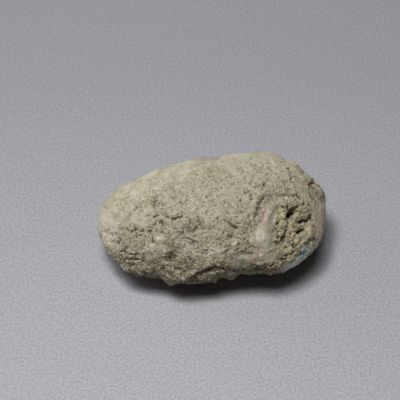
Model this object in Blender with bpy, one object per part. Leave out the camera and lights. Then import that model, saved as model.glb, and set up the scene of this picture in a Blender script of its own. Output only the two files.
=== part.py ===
"""Rough opal nodule in its sandy tuff rind, resting on a small flat spot.

One natural stone, so one solid. It starts as a fine ball that is stretched into the stone's body.
Then relief is laid on it: broad lumps, the broken lower face, the open window at the right end
with its crumbly plug, the smooth facet beside it, the chin along the lower edge, and hollows.
Metres, +Z up. X runs along the stone, and the origin is under its middle on the resting plane.
"""

import itertools
import math

import bmesh
import bpy
import numpy as np

MM = 0.001

# Driving dimensions of the body, in millimetres and degrees
DEPTH = 28.0
HEIGHT = 18.6
BASE_CUT = 0.55  # how much of the round underside the flat spot takes away
FACE_TILT = math.radians(50)  # the broken face looks up at this angle from the horizontal
EYE_DISTANCE = 224.0  # places on the face are laid out as seen from this far in front of it
MIDDLE = (-0.05, 0.15)  # the body's middle from the origin, so that the whole stone is centred

# Distance from the middle to the edge, seen square onto the tilted face, every 15 degrees from +X
EDGE_RADII = (
    23.2, 23.9, 21.7, 18.3, 15.6, 13.5, 12.5, 12.5, 12.7, 14.3, 17.3, 21.6,
    23.0, 22.1, 20.0, 16.4, 14.6, 13.4, 12.8, 12.5, 13.0, 15.6, 20.1, 22.6,
)

# Mesh
BALL_SUBDIVISIONS = 7
FACE_COUNT = 9500
SNAP = 0.03 * MM  # points this near the resting plane are put on it

# Noise
NOISE_TABLE = 256
NOISE_GAIN = 1.6  # brings gradient noise up to about -1 to 1
NOISE_SHIFT = 50.0

# Lumps all over: size, height on the smooth rind, height on the rough face, seed
LUMPS = (
    (13.0, 0.45, 0.45, 11),
    (6.5, 0.30, 0.40, 12),
    (3.2, 0.10, 0.26, 13),
    (1.7, 0.03, 0.16, 14),
)

FAR_ROUGHNESS = 0.5  # the far side is this rough, between 0 for the smooth rind and 1 for the broken face

# Where the face's relief fades out round the stone's edge, by the surface's turn towards the eye
FACING_START = -0.3
FACING_WIDTH = 0.35

# How far edges on the face wander from their drawn lines: size of a bend, reach, seed
WANDER = ((4.0, 0.4, 41), (1.6, 0.3, 43))

# Routes on the face: points are (along, up, half width), measured from the face's middle
OPAL_ROLL = (
    (14.2, 4.0, 0.9), (12.8, 3.4, 1.3), (12.0, 2.2, 1.4), (11.6, 0.8, 1.2), (11.3, -0.8, 1.4),
    (11.2, -2.6, 2.2), (10.8, -4.4, 2.2),
)
PLUG_CRACK = (
    (16.0, 0.9, 0.6), (15.3, -0.7, 0.5), (15.2, -2.1, 0.45), (14.6, -3.4, 0.45), (13.1, -4.8, 0.4),
)
PIT_ARM_LEFT = ((16.0, 0.9, 0.6), (15.1, 2.1, 0.4))
PIT_ARM_RIGHT = ((16.0, 0.9, 0.6), (17.3, 1.6, 0.4))
BALL_SHADOW = ((16.6, -0.1, 0.5), (17.8, -0.7, 0.7), (19.0, -0.4, 0.6))
LEFT_LEDGE = ((-16.2, -2.6, 0.5), (-15.6, -2.0, 0.8), (-14.2, -2.3, 0.7), (-12.4, -2.8, 0.5))
MIDDLE_LEDGE = ((-11.8, 0.2, 0.6), (-10.4, 0.6, 0.7), (-8.6, 0.1, 0.7), (-6.4, 0.5, 0.5))
THIN_CRACK = ((-6.0, -3.8, 0.4), (-4.4, -4.3, 0.5), (-2.8, -4.9, 0.4))
LOBE_GAP = ((-6.0, -12.6, 0.6), (-2.6, -11.3, 0.8), (0.8, -9.9, 0.7), (2.6, -9.6, 0.4))

# What is carved or raised along those routes: route, height, and how much of the width is flat
ROUTES = (
    (OPAL_ROLL, 0.3, 0.0),
    (PLUG_CRACK, -0.9, 0.0),
    (PIT_ARM_LEFT, -1.0, 0.0),
    (PIT_ARM_RIGHT, -1.0, 0.0),
    (BALL_SHADOW, -0.6, 0.2),
    (LEFT_LEDGE, -0.3, 0.0),
    (MIDDLE_LEDGE, -0.3, 0.0),
    (THIN_CRACK, -0.3, 0.0),
    (LOBE_GAP, -0.3, 0.0),
)

# Mounds and hollows on the face: along, up, half length, half width, turn in degrees, height
MOUND_EDGE = 1.5  # a mound fades out at this many times its half length and half width
MOUNDS = (
    (16.0, 0.9, 1.0, 0.9, 30, -1.9),  # deep pit in the plug
    (17.8, -2.5, 0.9, 0.6, 30, -1.0),  # dark hollow below it
    (-8.6, -12.7, 1.6, 1.2, 20, 0.25),  # the chin's pointed tip
    (4.3, -11.9, 1.2, 0.9, 0, 0.4),  # small knobs along the lower edge
    (14.3, -11.2, 1.3, 1.0, 0, 0.5),
    (1.1, 12.3, 1.3, 0.9, 0, -0.45),  # notch in the upper edge
    (-4.0, -2.0, 2.2, 1.7, 0, -0.4),  # shallow hollows in the rind
    (-11.8, 3.4, 1.5, 1.7, 0, -0.3),
    (-10.6, -1.1, 1.4, 0.9, 20, -0.55),
    (-8.4, -8.4, 1.5, 1.2, 30, -0.6),
    (-5.4, -10.0, 2.2, 1.3, 20, -0.6),
    (4.8, -0.8, 1.7, 1.2, 0, -0.4),
    (-0.8, -7.4, 1.7, 1.2, 0, -0.45),
    (6.4, -7.2, 1.6, 1.1, 0, -0.4),
    (-15.6, -9.0, 2.4, 1.4, -20, -0.5),
    (-10.4, -6.4, 2.3, 2.1, 0, 0.4),  # smooth skin patch that stands a little proud
    (-9.2, -2.4, 1.4, 0.7, 0, 0.4),
    (5.3, -2.6, 1.2, 0.9, 0, 0.4),
    (-2.2, -12.0, 4.2, 1.2, 0, 0.35),  # lobe under the chin
    (1.7, -12.2, 1.2, 0.9, 0, -0.5),  # and the bay beside it
    (9.2, -9.9, 1.3, 0.9, 0, -0.5),  # dark pocket beside the lower opal
)

# Sunken places with a step round them, which fades out towards one side. Place is (along, up, half
# length, half width, turn). Then come the depth, the step's width as a share of the half length, the
# side it fades towards, and where that starts and how long it takes
STEPS = (
    ((15.3, -0.7, 6.2, 6.4, 0), 0.55, 0.5, -55, 0.0, 6.0),  # the open window
    ((13.2, 0.6, 5.0, 5.0, 0), 0.6, 0.12, -60, -3.6, 2.6),  # and the ledge over it
    ((22.3, 5.6, 2.9, 2.6, 0), 0.9, 0.15, -10, -2.2, 2.5),  # smooth facet at the right end
)

# The plug is crumbly within this ellipse: along, up, half length, half width, turn
PLUG = (16.3, -2.6, 7.2, 4.5, 98)

# Round lumps in the plug: along, up, half length, half width, turn, height
BALLS = (
    (15.7, 3.2, 1.6, 1.3, 15, 0.7),
    (14.0, 1.0, 1.3, 1.4, 0, 0.7),
    (18.6, 1.3, 1.7, 1.6, 0, 1.3),
    (17.6, 3.6, 1.0, 0.8, 0, 0.5),
    (16.6, -1.4, 1.7, 1.7, 0, 0.8),
    (14.1, -2.0, 1.1, 1.5, -20, 0.5),
    (16.4, -4.2, 1.7, 1.3, 20, 0.5),
    (19.2, -3.2, 1.8, 1.1, 45, 0.6),
    (14.9, -6.0, 1.8, 1.3, 0, 0.5),
    (17.9, -5.9, 1.5, 1.2, 0, 0.4),
    (12.5, -7.6, 1.8, 1.2, 0, 0.45),
    (16.3, -8.3, 2.2, 1.3, 15, 0.4),
)

# Crumbs all over the plug
CRUMB_SIZE = 2.2
CRUMB_HEIGHT = 0.3
CRUMB_GROOVE = 0.35  # width of the grooves between crumbs, in crumb sizes
CRUMB_ROUNDING = 0.6
CRUMB_LEVEL = 0.4  # the crumbs' middle height, which stays level with the face
CRUMB_BEND = 0.5  # how far the crumbs are bent out of their plain cell shapes
CRUMB_SEED = 31
BEND_SEEDS = (61, 62, 63)

# Broken lower face: below this line, from left to right, the rind has flaked away
BREAK_LINE = (
    (-23.0, -3.0), (-16.0, -2.2), (-11.0, 0.0), (-4.0, 0.5), (2.0, -0.6), (7.0, -2.0), (10.0, -7.0),
    (14.0, -18.0),
)
BREAK_WANDER = ((5.0, 1.6, 21), (1.8, 0.7, 22))  # size of a bend, reach, seed
BREAK_DEPTH = 0.3
BREAK_WIDTH = 2.6

# The chin's crest: the lit face swells down to it, and under it the surface turns in
CHIN = (
    (-10.5, -13.5), (-8.6, -12.9), (-4.7, -11.4), (-2.9, -10.4), (0.7, -9.1), (4.2, -9.5), (9.0, -9.4),
    (15.0, -10.2),
)
CHIN_HEIGHT = 0.55
CHIN_SWELL = 2.2  # how far up the face the swelling reaches
CHIN_TURN = 0.9  # how far below its crest the surface has turned in
CHIN_ENDS = (2.0, 3.0)  # the lengths over which it starts at the left and fades at the right

# Old breaks on the far side and underneath, nearly flat: direction outwards, distance from the middle
FLATS = (
    ((0.50, 0.78, -0.38), 14.6),
    ((-0.58, 0.78, -0.10), 15.0),
    ((-0.40, 0.45, -0.80), 11.9),
    ((0.45, -0.25, -0.85), 12.3),
)
FLAT_SOFTNESS = 0.9
FLAT_WAVES = (6.0, 0.5, 51)  # size, height, seed

# Hollows and swellings on the far side and underneath: direction from the middle, reach, height
FAR_FORMS = (
    ((-0.45, 0.75, 0.25), 0.47, -0.8),
    ((0.35, 0.85, -0.15), 0.4, -0.9),
    ((0.62, 0.6, 0.35), 0.36, 0.6),
    ((-0.1, 0.9, -0.35), 0.54, 0.7),
    ((-0.8, 0.45, -0.2), 0.4, -0.5),
    ((0.85, 0.4, -0.25), 0.32, -0.7),
    ((0.2, -0.5, -0.8), 0.45, -0.6),
    ((-0.5, -0.3, -0.75), 0.45, -0.6),
)

# Material
RIND_COLOUR = (0.42, 0.38, 0.28, 1.0)
RIND_ROUGHNESS = 0.9


def clear_scene():
    for old in list(bpy.data.objects):
        bpy.data.objects.remove(old, do_unlink=True)


def ease(value):
    """Smooth step from 0 to 1."""
    value = np.clip(value, 0.0, 1.0)
    return value * value * (3.0 - 2.0 * value)


def ring_radius(angle):
    """The edge radius at any angle, along a smooth closed curve through EDGE_RADII."""
    radii = np.array(EDGE_RADII)
    place = np.mod(angle / (2.0 * math.pi), 1.0) * len(radii)
    first = np.floor(place).astype(int)
    part = place - first
    before, here, after, beyond = (radii[(first + k) % len(radii)] for k in (-1, 0, 1, 2))
    return here + 0.5 * part * (
        after - before
        + part * (2.0 * before - 5.0 * here + 4.0 * after - beyond
                  + part * (3.0 * (here - after) + beyond - before))
    )


def drawn_entry(cell, shuffle):
    """Which entry of a shuffled table each cell of a grid in space takes."""
    x, y, z = cell.T
    size = len(shuffle)
    return shuffle[(shuffle[(shuffle[x % size] + y) % size] + z) % size]


def gradient_noise(points, size, seed):
    """Smooth noise between about -1 and 1, with lumps about one size across."""
    source = np.random.default_rng(seed)
    shuffle = source.permutation(NOISE_TABLE)
    slopes = source.normal(size=(NOISE_TABLE, 3))
    slopes /= np.linalg.norm(slopes, axis=1, keepdims=True)
    place = points / size + source.uniform(0.0, NOISE_SHIFT, 3)
    cell = np.floor(place).astype(int)
    inside = place - cell
    fade = inside ** 3 * (inside * (inside * 6.0 - 15.0) + 10.0)
    total = np.zeros(len(points))
    for corner in itertools.product((0, 1), repeat=3):
        slope = slopes[drawn_entry(cell + corner, shuffle)]
        weight = np.prod(np.where(corner, fade, 1.0 - fade), axis=1)
        total += weight * np.sum(slope * (inside - corner), axis=1)
    return NOISE_GAIN * total


def face_axes():
    """Unit vectors up the tilted face and out of it."""
    up = np.array((0.0, math.sin(FACE_TILT), math.cos(FACE_TILT)))
    out = np.array((0.0, -math.cos(FACE_TILT), math.sin(FACE_TILT)))
    return up, out


def body_points(directions):
    """The smooth body: each direction of the ball is carried to the stone's surface.

    Seen square onto the face the body has the outline of EDGE_RADII. Towards the eye and away
    from it each section is half an ellipse, leaned so that the stone lies level.
    """
    up_axis, out_axis = face_axes()
    along = directions[:, 0]
    up = directions @ up_axis
    out = directions @ out_axis
    half_depth = DEPTH / 2.0
    half_height = HEIGHT / 2.0
    sine = math.sin(FACE_TILT)
    cosine = math.cos(FACE_TILT)
    seen_height = math.hypot(half_depth * sine, half_height * cosine)
    thickness = half_depth * half_height / seen_height
    lean = (half_depth ** 2 - half_height ** 2) * sine * cosine / seen_height ** 2
    angle = np.arctan2(up, along)
    reach = ring_radius(angle) * np.hypot(along, up)
    along = reach * np.cos(angle)
    up = reach * np.sin(angle)
    out = thickness * out - lean * up
    points = np.outer(up, up_axis) + np.outer(out, out_axis)
    points[:, 0] = along
    return points


def seen_places(points):
    """Where points show on the face, to an eye in front of it: along and up."""
    up_axis, out_axis = face_axes()
    nearness = 1.0 - points @ out_axis / EYE_DISTANCE
    return points[:, 0] / nearness, (points @ up_axis) / nearness


def along_route(along, up, route):
    """How near each place is to a route: 1 on its middle line, 0 at its half width and beyond."""
    nearest = np.zeros(len(along))
    for (x1, y1, w1), (x2, y2, w2) in zip(route, route[1:]):
        run_x = x2 - x1
        run_y = y2 - y1
        share = ((along - x1) * run_x + (up - y1) * run_y) / (run_x ** 2 + run_y ** 2)
        share = np.clip(share, 0.0, 1.0)
        gap = np.hypot(along - x1 - share * run_x, up - y1 - share * run_y)
        nearest = np.maximum(nearest, 1.0 - gap / (w1 + share * (w2 - w1)))
    return nearest


def turned_place(along, up, centre_along, centre_up, turn):
    """Places measured from a centre, along and across a turned direction."""
    turn = math.radians(turn)
    across = (along - centre_along) * math.cos(turn) + (up - centre_up) * math.sin(turn)
    over = (up - centre_up) * math.cos(turn) - (along - centre_along) * math.sin(turn)
    return across, over


def ellipse_share(along, up, centre_along, centre_up, half_length, half_width, turn):
    """How far out each place is in a turned ellipse: 0 at its centre and 1 at its edge."""
    across, over = turned_place(along, up, centre_along, centre_up, turn)
    return np.hypot(across / half_length, over / half_width)


def within_mound(along, up, *place):
    """1 at the centre of a turned ellipse, falling smoothly to 0 at its edge."""
    return ease(1.0 - ellipse_share(along, up, *place) / MOUND_EDGE)


def cell_gaps(points, size, seed):
    """For cells scattered about one size apart: distance to the nearest centre, and how far
    each point is from the border between its two nearest cells, both in cell sizes."""
    source = np.random.default_rng(seed)
    offsets = source.uniform(0.0, 1.0, (NOISE_TABLE, 3))
    shuffle = source.permutation(NOISE_TABLE)
    place = points / size
    cell = np.floor(place).astype(int)
    nearest = np.full(len(points), np.inf)
    second = np.full(len(points), np.inf)
    for step in itertools.product((-1, 0, 1), repeat=3):
        centre = cell + step + offsets[drawn_entry(cell + step, shuffle)]
        gap = np.linalg.norm(place - centre, axis=1)
        second = np.minimum(second, np.maximum(gap, nearest))
        nearest = np.minimum(nearest, gap)
    return nearest, second - nearest


def flattened(points):
    """Pulls whatever stands out beyond a wavy flat back to it, with a softened edge."""
    size, height, seed = FLAT_WAVES
    waves = height * gradient_noise(points, size, seed)
    for direction, distance in FLATS:
        direction = np.array(direction) / np.linalg.norm(direction)
        excess = (points @ direction - distance - waves) / FLAT_SOFTNESS
        pulled = FLAT_SOFTNESS * np.logaddexp(0.0, excess)
        points = points - pulled[:, None] * direction
    return points


def within_plug(along, up):
    return within_mound(along, up, *PLUG)


def break_share(points, along, up):
    """0 on the smooth upper rind, 1 on the broken lower face, with a wandering border."""
    line = np.interp(along, *zip(*BREAK_LINE))
    for size, reach, seed in BREAK_WANDER:
        line = line + reach * gradient_noise(points, size, seed)
    return ease((line - up) / BREAK_WIDTH + 0.5)


def lumps(points, rough):
    height = np.zeros(len(points))
    for size, smooth_height, rough_height, seed in LUMPS:
        share = smooth_height + (rough_height - smooth_height) * rough
        height += share * gradient_noise(points, size, seed)
    return height


def chin(along, up):
    """A swelling that ends in a crest, with a steep turn inwards below it."""
    above = up - np.interp(along, *zip(*CHIN))
    start, end = CHIN_ENDS
    faded = ease((along - CHIN[0][0]) / start) * ease((CHIN[-1][0] - along) / end)
    swelling = np.exp(-np.maximum(above, 0.0) / CHIN_SWELL)
    turned_in = 1.0 - ease(-above / CHIN_TURN)
    return CHIN_HEIGHT * faded * swelling * turned_in


def step_relief(along, up):
    """A step down inside each of STEPS."""
    relief = np.zeros(len(along))
    for place, depth, edge, fade_side, fade_start, fade_length in STEPS:
        inside = ease((1.0 - ellipse_share(along, up, *place)) / edge)
        towards, _ = turned_place(along, up, place[0], place[1], fade_side)
        relief -= depth * inside * ease(1.0 - (towards - fade_start) / fade_length)
    return relief


def balls(along, up):
    """Round lumps, each as high as the cap of a ball."""
    height = np.zeros(len(along))
    for *place, rise in BALLS:
        cap = np.sqrt(np.maximum(1.0 - ellipse_share(along, up, *place) ** 2, 0.0))
        height = np.maximum(height, rise * cap)
    return height


def crumbs(points):
    """Rounded crumbs with grooves between them."""
    bend = np.stack([gradient_noise(points, CRUMB_SIZE, seed) for seed in BEND_SEEDS], axis=1)
    to_centre, to_border = cell_gaps(points + CRUMB_BEND * bend, CRUMB_SIZE, CRUMB_SEED)
    rise = ease(to_border / CRUMB_GROOVE) - CRUMB_ROUNDING * to_centre
    return CRUMB_HEIGHT * (rise - CRUMB_LEVEL)


def face_relief(points):
    """Everything carved on the side that the face's eye sees."""
    along, up = seen_places(points)
    relief = chin(along, up)
    for size, reach, seed in WANDER:
        along = along + reach * gradient_noise(points, size, seed)
        up = up + reach * gradient_noise(points, size, seed + 1)
    for route, height, flat in ROUTES:
        relief += height * ease(along_route(along, up, route) / (1.0 - flat))
    for *place, height in MOUNDS:
        relief += height * within_mound(along, up, *place)
    relief -= BREAK_DEPTH * break_share(points, along, up)
    relief += step_relief(along, up)
    relief += (balls(along, up) + crumbs(points)) * ease(2.0 * within_plug(along, up))
    return relief


def far_relief(directions):
    relief = np.zeros(len(directions))
    for centre, reach, height in FAR_FORMS:
        centre = np.array(centre) / np.linalg.norm(centre)
        gap = np.linalg.norm(directions - centre, axis=1)
        relief += height * ease(1.0 - gap / reach)
    return relief


def vertex_normals(points, faces):
    corners = points[faces]
    turned = np.cross(corners[:, 1] - corners[:, 0], corners[:, 2] - corners[:, 0])
    normals = np.zeros_like(points)
    for corner in faces.T:
        np.add.at(normals, corner, turned)
    return normals / np.linalg.norm(normals, axis=1, keepdims=True)


def stone_points(directions, faces):
    """The stone's surface in millimetres, from the ball's directions."""
    body = flattened(body_points(directions))
    normals = vertex_normals(body, faces)
    _, out_axis = face_axes()
    facing = ease((normals @ out_axis - FACING_START) / FACING_WIDTH)
    along, up = seen_places(body)
    rough = np.maximum(break_share(body, along, up), within_plug(along, up)) * facing
    rough = np.maximum(rough, FAR_ROUGHNESS * (1.0 - facing))
    height = lumps(body, rough) + face_relief(body) * facing + far_relief(directions)
    points = body + height[:, None] * normals
    points[:, :2] += MIDDLE
    points[:, 2] += HEIGHT / 2.0 - BASE_CUT
    return points


def make_ball():
    bpy.ops.mesh.primitive_ico_sphere_add(subdivisions=BALL_SUBDIVISIONS, radius=1.0)
    ball = bpy.context.active_object
    ball.name = "opal_nodule"
    ball.data.name = "opal_nodule"
    return ball


def shape_stone(stone):
    """Moves the ball's vertices to the stone's surface."""
    mesh = stone.data
    places = np.empty(3 * len(mesh.vertices))
    mesh.vertices.foreach_get("co", places)
    directions = places.reshape(-1, 3)
    directions = directions / np.linalg.norm(directions, axis=1, keepdims=True)
    faces = np.empty(3 * len(mesh.polygons), dtype=np.int32)
    mesh.polygons.foreach_get("vertices", faces)
    points = stone_points(directions, faces.reshape(-1, 3)) * MM
    mesh.vertices.foreach_set("co", points.ravel())
    mesh.update()


def thin_out(stone):
    """Keeps faces where the relief needs them and drops them where it is smooth."""
    fewer = stone.modifiers.new("fewer_faces", "DECIMATE")
    fewer.ratio = FACE_COUNT / len(stone.data.polygons)
    graph = bpy.context.evaluated_depsgraph_get()
    thinned = bpy.data.meshes.new_from_object(stone.evaluated_get(graph))
    stone.modifiers.remove(fewer)
    full = stone.data
    stone.data = thinned
    bpy.data.meshes.remove(full)
    thinned.name = "opal_nodule"


def cut_flat_spot(stone):
    """Cuts the underside off at Z = 0, so that the stone rests on a true flat."""
    cut = bmesh.new()
    cut.from_mesh(stone.data)
    for vert in cut.verts:
        if abs(vert.co.z) < SNAP:
            vert.co.z = 0.0
    everything = cut.verts[:] + cut.edges[:] + cut.faces[:]
    below = (0.0, 0.0, -1.0)
    sliced = bmesh.ops.bisect_plane(cut, geom=everything, dist=SNAP, plane_no=below, clear_outer=True)
    rim = [item for item in sliced["geom_cut"] if isinstance(item, bmesh.types.BMEdge)]
    filled = bmesh.ops.holes_fill(cut, edges=rim)
    bmesh.ops.triangulate(cut, faces=filled["faces"])
    bmesh.ops.recalc_face_normals(cut, faces=cut.faces[:])
    cut.to_mesh(stone.data)
    cut.free()


def tuff_rind():
    """Dusty cream volcanic tuff, the colour of nearly all of the outside."""
    material = bpy.data.materials.new("tuff_rind")
    material.use_nodes = True
    surface = material.node_tree.nodes["Principled BSDF"]
    surface.inputs["Base Color"].default_value = RIND_COLOUR
    surface.inputs["Roughness"].default_value = RIND_ROUGHNESS
    surface.inputs["Metallic"].default_value = 0.0
    material.diffuse_color = RIND_COLOUR
    return material


def file_in_collection(stone):
    collection = bpy.data.collections.new("rough_opal")
    bpy.context.scene.collection.children.link(collection)
    for holder in list(stone.users_collection):
        holder.objects.unlink(stone)
    collection.objects.link(stone)


def build():
    clear_scene()
    stone = make_ball()
    shape_stone(stone)
    thin_out(stone)
    cut_flat_spot(stone)
    stone.data.shade_smooth()
    stone.data.materials.append(tuff_rind())
    file_in_collection(stone)
    return stone


build()
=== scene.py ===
import itertools
import math

import bpy
import numpy as np
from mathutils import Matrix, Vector


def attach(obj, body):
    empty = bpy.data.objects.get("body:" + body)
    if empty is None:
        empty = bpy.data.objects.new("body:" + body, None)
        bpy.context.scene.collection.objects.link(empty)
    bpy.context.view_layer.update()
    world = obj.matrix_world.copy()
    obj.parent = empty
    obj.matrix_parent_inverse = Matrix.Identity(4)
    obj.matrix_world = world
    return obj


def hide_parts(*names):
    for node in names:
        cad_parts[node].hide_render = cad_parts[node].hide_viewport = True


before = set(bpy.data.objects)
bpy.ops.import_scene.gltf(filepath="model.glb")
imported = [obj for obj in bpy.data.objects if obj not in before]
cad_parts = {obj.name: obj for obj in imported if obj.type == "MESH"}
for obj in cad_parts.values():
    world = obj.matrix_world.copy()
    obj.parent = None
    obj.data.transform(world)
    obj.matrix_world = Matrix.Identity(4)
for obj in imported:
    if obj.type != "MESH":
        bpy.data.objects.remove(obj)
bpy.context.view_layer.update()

# Shapes are worked out in millimetres and become metres when a mesh is made.
mm = 0.001

noise = {"table": 256, "gain": 1.6, "shift": 50.0}


def ease(value):
    # smooth step: 3 v^2 - 2 v^3 between 0 and 1
    value = np.clip(value, 0.0, 1.0)
    return value * value * (3.0 - 2.0 * value)


def rise(value, start, width):
    # 0 up to the start, 1 past the width after it
    return ease((value - start) / width)


def blend(low, high, share):
    # low where the share is 0, high where it is 1
    return low + (high - low) * share


def drawnEntry(cell, shuffle):
    # the entry of a shuffled table that each cell of a grid in space takes
    x, y, z = cell.T
    size = len(shuffle)
    return shuffle[(shuffle[(shuffle[x % size] + y) % size] + z) % size]


def gradientNoise(points, size, seed):
    # gradient noise: a random slope at each corner of a cell, blended by the fade 6t^5 - 15t^4 + 10t^3
    source = np.random.default_rng(seed)
    shuffle = source.permutation(noise["table"])
    slopes = source.normal(size=(noise["table"], 3))
    slopes /= np.linalg.norm(slopes, axis=1, keepdims=True)
    place = points / size + source.uniform(0.0, noise["shift"], 3)
    cell = np.floor(place).astype(int)
    inside = place - cell
    fade = inside ** 3 * (inside * (inside * 6.0 - 15.0) + 10.0)
    total = np.zeros(len(points))
    for corner in itertools.product((0, 1), repeat=3):
        slope = slopes[drawnEntry(cell + corner, shuffle)]
        weight = np.prod(np.where(corner, fade, 1.0 - fade), axis=1)
        total += weight * np.sum(slope * (inside - corner), axis=1)
    return noise["gain"] * total


def cellGaps(points, size, seed):
    # cells round scattered centres: distance to the nearest centre, distance left to the border with
    # the second nearest, both in cell sizes, and a random number of the cell
    source = np.random.default_rng(seed)
    offsets = source.uniform(0.0, 1.0, (noise["table"], 3))
    shuffle = source.permutation(noise["table"])
    place = points / size
    cell = np.floor(place).astype(int)
    nearest = np.full(len(points), np.inf)
    second = np.full(len(points), np.inf)
    owner = np.zeros(len(points), dtype=int)
    for neighbour in itertools.product((-1, 0, 1), repeat=3):
        entry = drawnEntry(cell + neighbour, shuffle)
        gap = np.linalg.norm(place - (cell + neighbour + offsets[entry]), axis=1)
        owner = np.where(gap < nearest, entry, owner)
        second = np.minimum(second, np.maximum(gap, nearest))
        nearest = np.minimum(nearest, gap)
    return nearest, second - nearest, owner / noise["table"]


def bent(points, size, reach, seeds):
    # points shifted by noise of this size, so that cells laid on them aren't plain polygons
    return points + reach * size * np.stack([gradientNoise(points, size, seed) for seed in seeds], axis=1)


# The stone's body. The same rule shapes the CAD solid, here with far more points.
stone = {
    "depth": 28.0,
    "height": 18.6,
    "baseCut": 0.55,  # taken off the round underside by the flat spot
    "faceTilt": math.radians(50),  # the broken face looks up at this angle
    "eyeDistance": 224.0,  # places on the face are laid out as seen from here
    "middle": (-0.05, 0.15),
    # distance from the middle to the edge, square onto the face, every 15 degrees from +X
    "edgeRadii": (
        23.2, 23.9, 21.7, 18.3, 15.6, 13.5, 12.5, 12.5, 12.7, 14.3, 17.3, 21.6,
        23.0, 22.1, 20.0, 16.4, 14.6, 13.4, 12.8, 12.5, 13.0, 15.6, 20.1, 22.6,
    ),
    "gridCount": 128,  # squares along each side of the six grids that wrap the stone
    "facePull": 0.28,  # how much closer the grid lines run on the broken face
}


def stoneMiddle():
    return np.array((*stone["middle"], stone["height"] / 2.0 - stone["baseCut"]))


def faceAxes():
    # unit vectors up the tilted face and out of it
    tilt = stone["faceTilt"]
    return np.array((0.0, math.sin(tilt), math.cos(tilt))), np.array((0.0, -math.cos(tilt), math.sin(tilt)))


def ringRadius(angle):
    # the edge radius at any angle, on a closed Catmull-Rom curve through the listed radii
    radii = np.array(stone["edgeRadii"])
    place = np.mod(angle / (2.0 * math.pi), 1.0) * len(radii)
    first = np.floor(place).astype(int)
    part = place - first
    before, here, after, beyond = (radii[(first + k) % len(radii)] for k in (-1, 0, 1, 2))
    return here + 0.5 * part * (
        after - before
        + part * (2.0 * before - 5.0 * here + 4.0 * after - beyond
                  + part * (3.0 * (here - after) + beyond - before))
    )


def sphereGrid(count, pull):
    # Six grids that wrap a ball. On each, direction = outward + tan(s 45deg) right + tan(t 45deg) up for s
    # and t from -1 to 1, brought to length 1, then drawn towards the face and brought to length 1.
    upAxis, outAxis = faceAxes()
    axes = np.array(((1.0, 0.0, 0.0), upAxis, outAxis))
    ticks = 2 * np.arange(count + 1) - count
    lattice = []
    for outward, right, up in ((0, 1, 2), (1, 2, 0), (2, 0, 1)):
        for side in (1, -1):
            s, t = np.meshgrid(ticks, ticks * side, indexing="ij")
            grid = np.empty((count + 1, count + 1, 3), dtype=int)
            grid[..., outward] = side * count
            grid[..., right] = s
            grid[..., up] = t
            lattice.append(grid.reshape(-1, 3))
    places, index = np.unique(np.concatenate(lattice), axis=0, return_inverse=True)
    index = index.reshape(6, count + 1, count + 1)
    quads = np.stack((index[:, :-1, :-1], index[:, 1:, :-1], index[:, 1:, 1:], index[:, :-1, 1:]), axis=-1)
    directions = np.tan(places / count * math.pi / 4.0) @ axes
    directions /= np.linalg.norm(directions, axis=1, keepdims=True)
    directions += pull * outAxis
    directions /= np.linalg.norm(directions, axis=1, keepdims=True)
    return directions, quads.reshape(-1, 4)


def bodyPoints(directions):
    # the smooth body: the drawn outline square onto the face, half ellipses towards the eye and away
    upAxis, outAxis = faceAxes()
    halfDepth = stone["depth"] / 2.0
    halfHeight = stone["height"] / 2.0
    sine = math.sin(stone["faceTilt"])
    cosine = math.cos(stone["faceTilt"])
    seenHeight = math.hypot(halfDepth * sine, halfHeight * cosine)
    thickness = halfDepth * halfHeight / seenHeight
    lean = (halfDepth ** 2 - halfHeight ** 2) * sine * cosine / seenHeight ** 2
    along = directions[:, 0]
    up = directions @ upAxis
    angle = np.arctan2(up, along)
    reach = ringRadius(angle) * np.hypot(along, up)
    up = reach * np.sin(angle)
    out = thickness * (directions @ outAxis) - lean * up
    points = np.outer(up, upAxis) + np.outer(out, outAxis)
    points[:, 0] = reach * np.cos(angle)
    return points


def seenPlaces(points):
    # where points show on the face, to an eye in front of it
    upAxis, outAxis = faceAxes()
    nearness = 1.0 - points @ outAxis / stone["eyeDistance"]
    return points[:, 0] / nearness, (points @ upAxis) / nearness


# Old breaks on the far side and underneath: direction outwards and distance from the middle
flats = {
    "planes": (
        ((0.50, 0.78, -0.38), 14.6),
        ((-0.58, 0.78, -0.10), 15.0),
        ((-0.40, 0.45, -0.80), 11.9),
        ((0.45, -0.25, -0.85), 12.3),
    ),
    "softness": 0.9,
    "waves": (6.0, 0.5, 51),
}


def flattened(points):
    # what stands out beyond a wavy flat is pulled back to it by log(1 + e^x)
    size, height, seed = flats["waves"]
    waves = height * gradientNoise(points, size, seed)
    for direction, distance in flats["planes"]:
        direction = np.array(direction) / np.linalg.norm(direction)
        excess = (points @ direction - distance - waves) / flats["softness"]
        points = points - (flats["softness"] * np.logaddexp(0.0, excess))[:, None] * direction
    return points


# Hollows and swellings on the far side: direction outwards, reach, height
farForms = (
    ((-0.45, 0.75, 0.25), 0.47, -0.8),
    ((0.35, 0.85, -0.15), 0.4, -0.9),
    ((0.62, 0.6, 0.35), 0.36, 0.6),
    ((-0.1, 0.9, -0.35), 0.54, 0.7),
    ((-0.8, 0.45, -0.2), 0.4, -0.5),
    ((0.85, 0.4, -0.25), 0.32, -0.7),
    ((0.2, -0.5, -0.8), 0.45, -0.6),
    ((-0.5, -0.3, -0.75), 0.45, -0.6),
)


def farRelief(directions):
    relief = np.zeros(len(directions))
    for centre, reach, height in farForms:
        centre = np.array(centre) / np.linalg.norm(centre)
        relief += height * ease(1.0 - np.linalg.norm(directions - centre, axis=1) / reach)
    return relief


def turnedPlace(along, up, centreAlong, centreUp, turn):
    # places measured from a centre, along and across a turned direction
    turn = math.radians(turn)
    across = (along - centreAlong) * math.cos(turn) + (up - centreUp) * math.sin(turn)
    return across, (up - centreUp) * math.cos(turn) - (along - centreAlong) * math.sin(turn)


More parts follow.
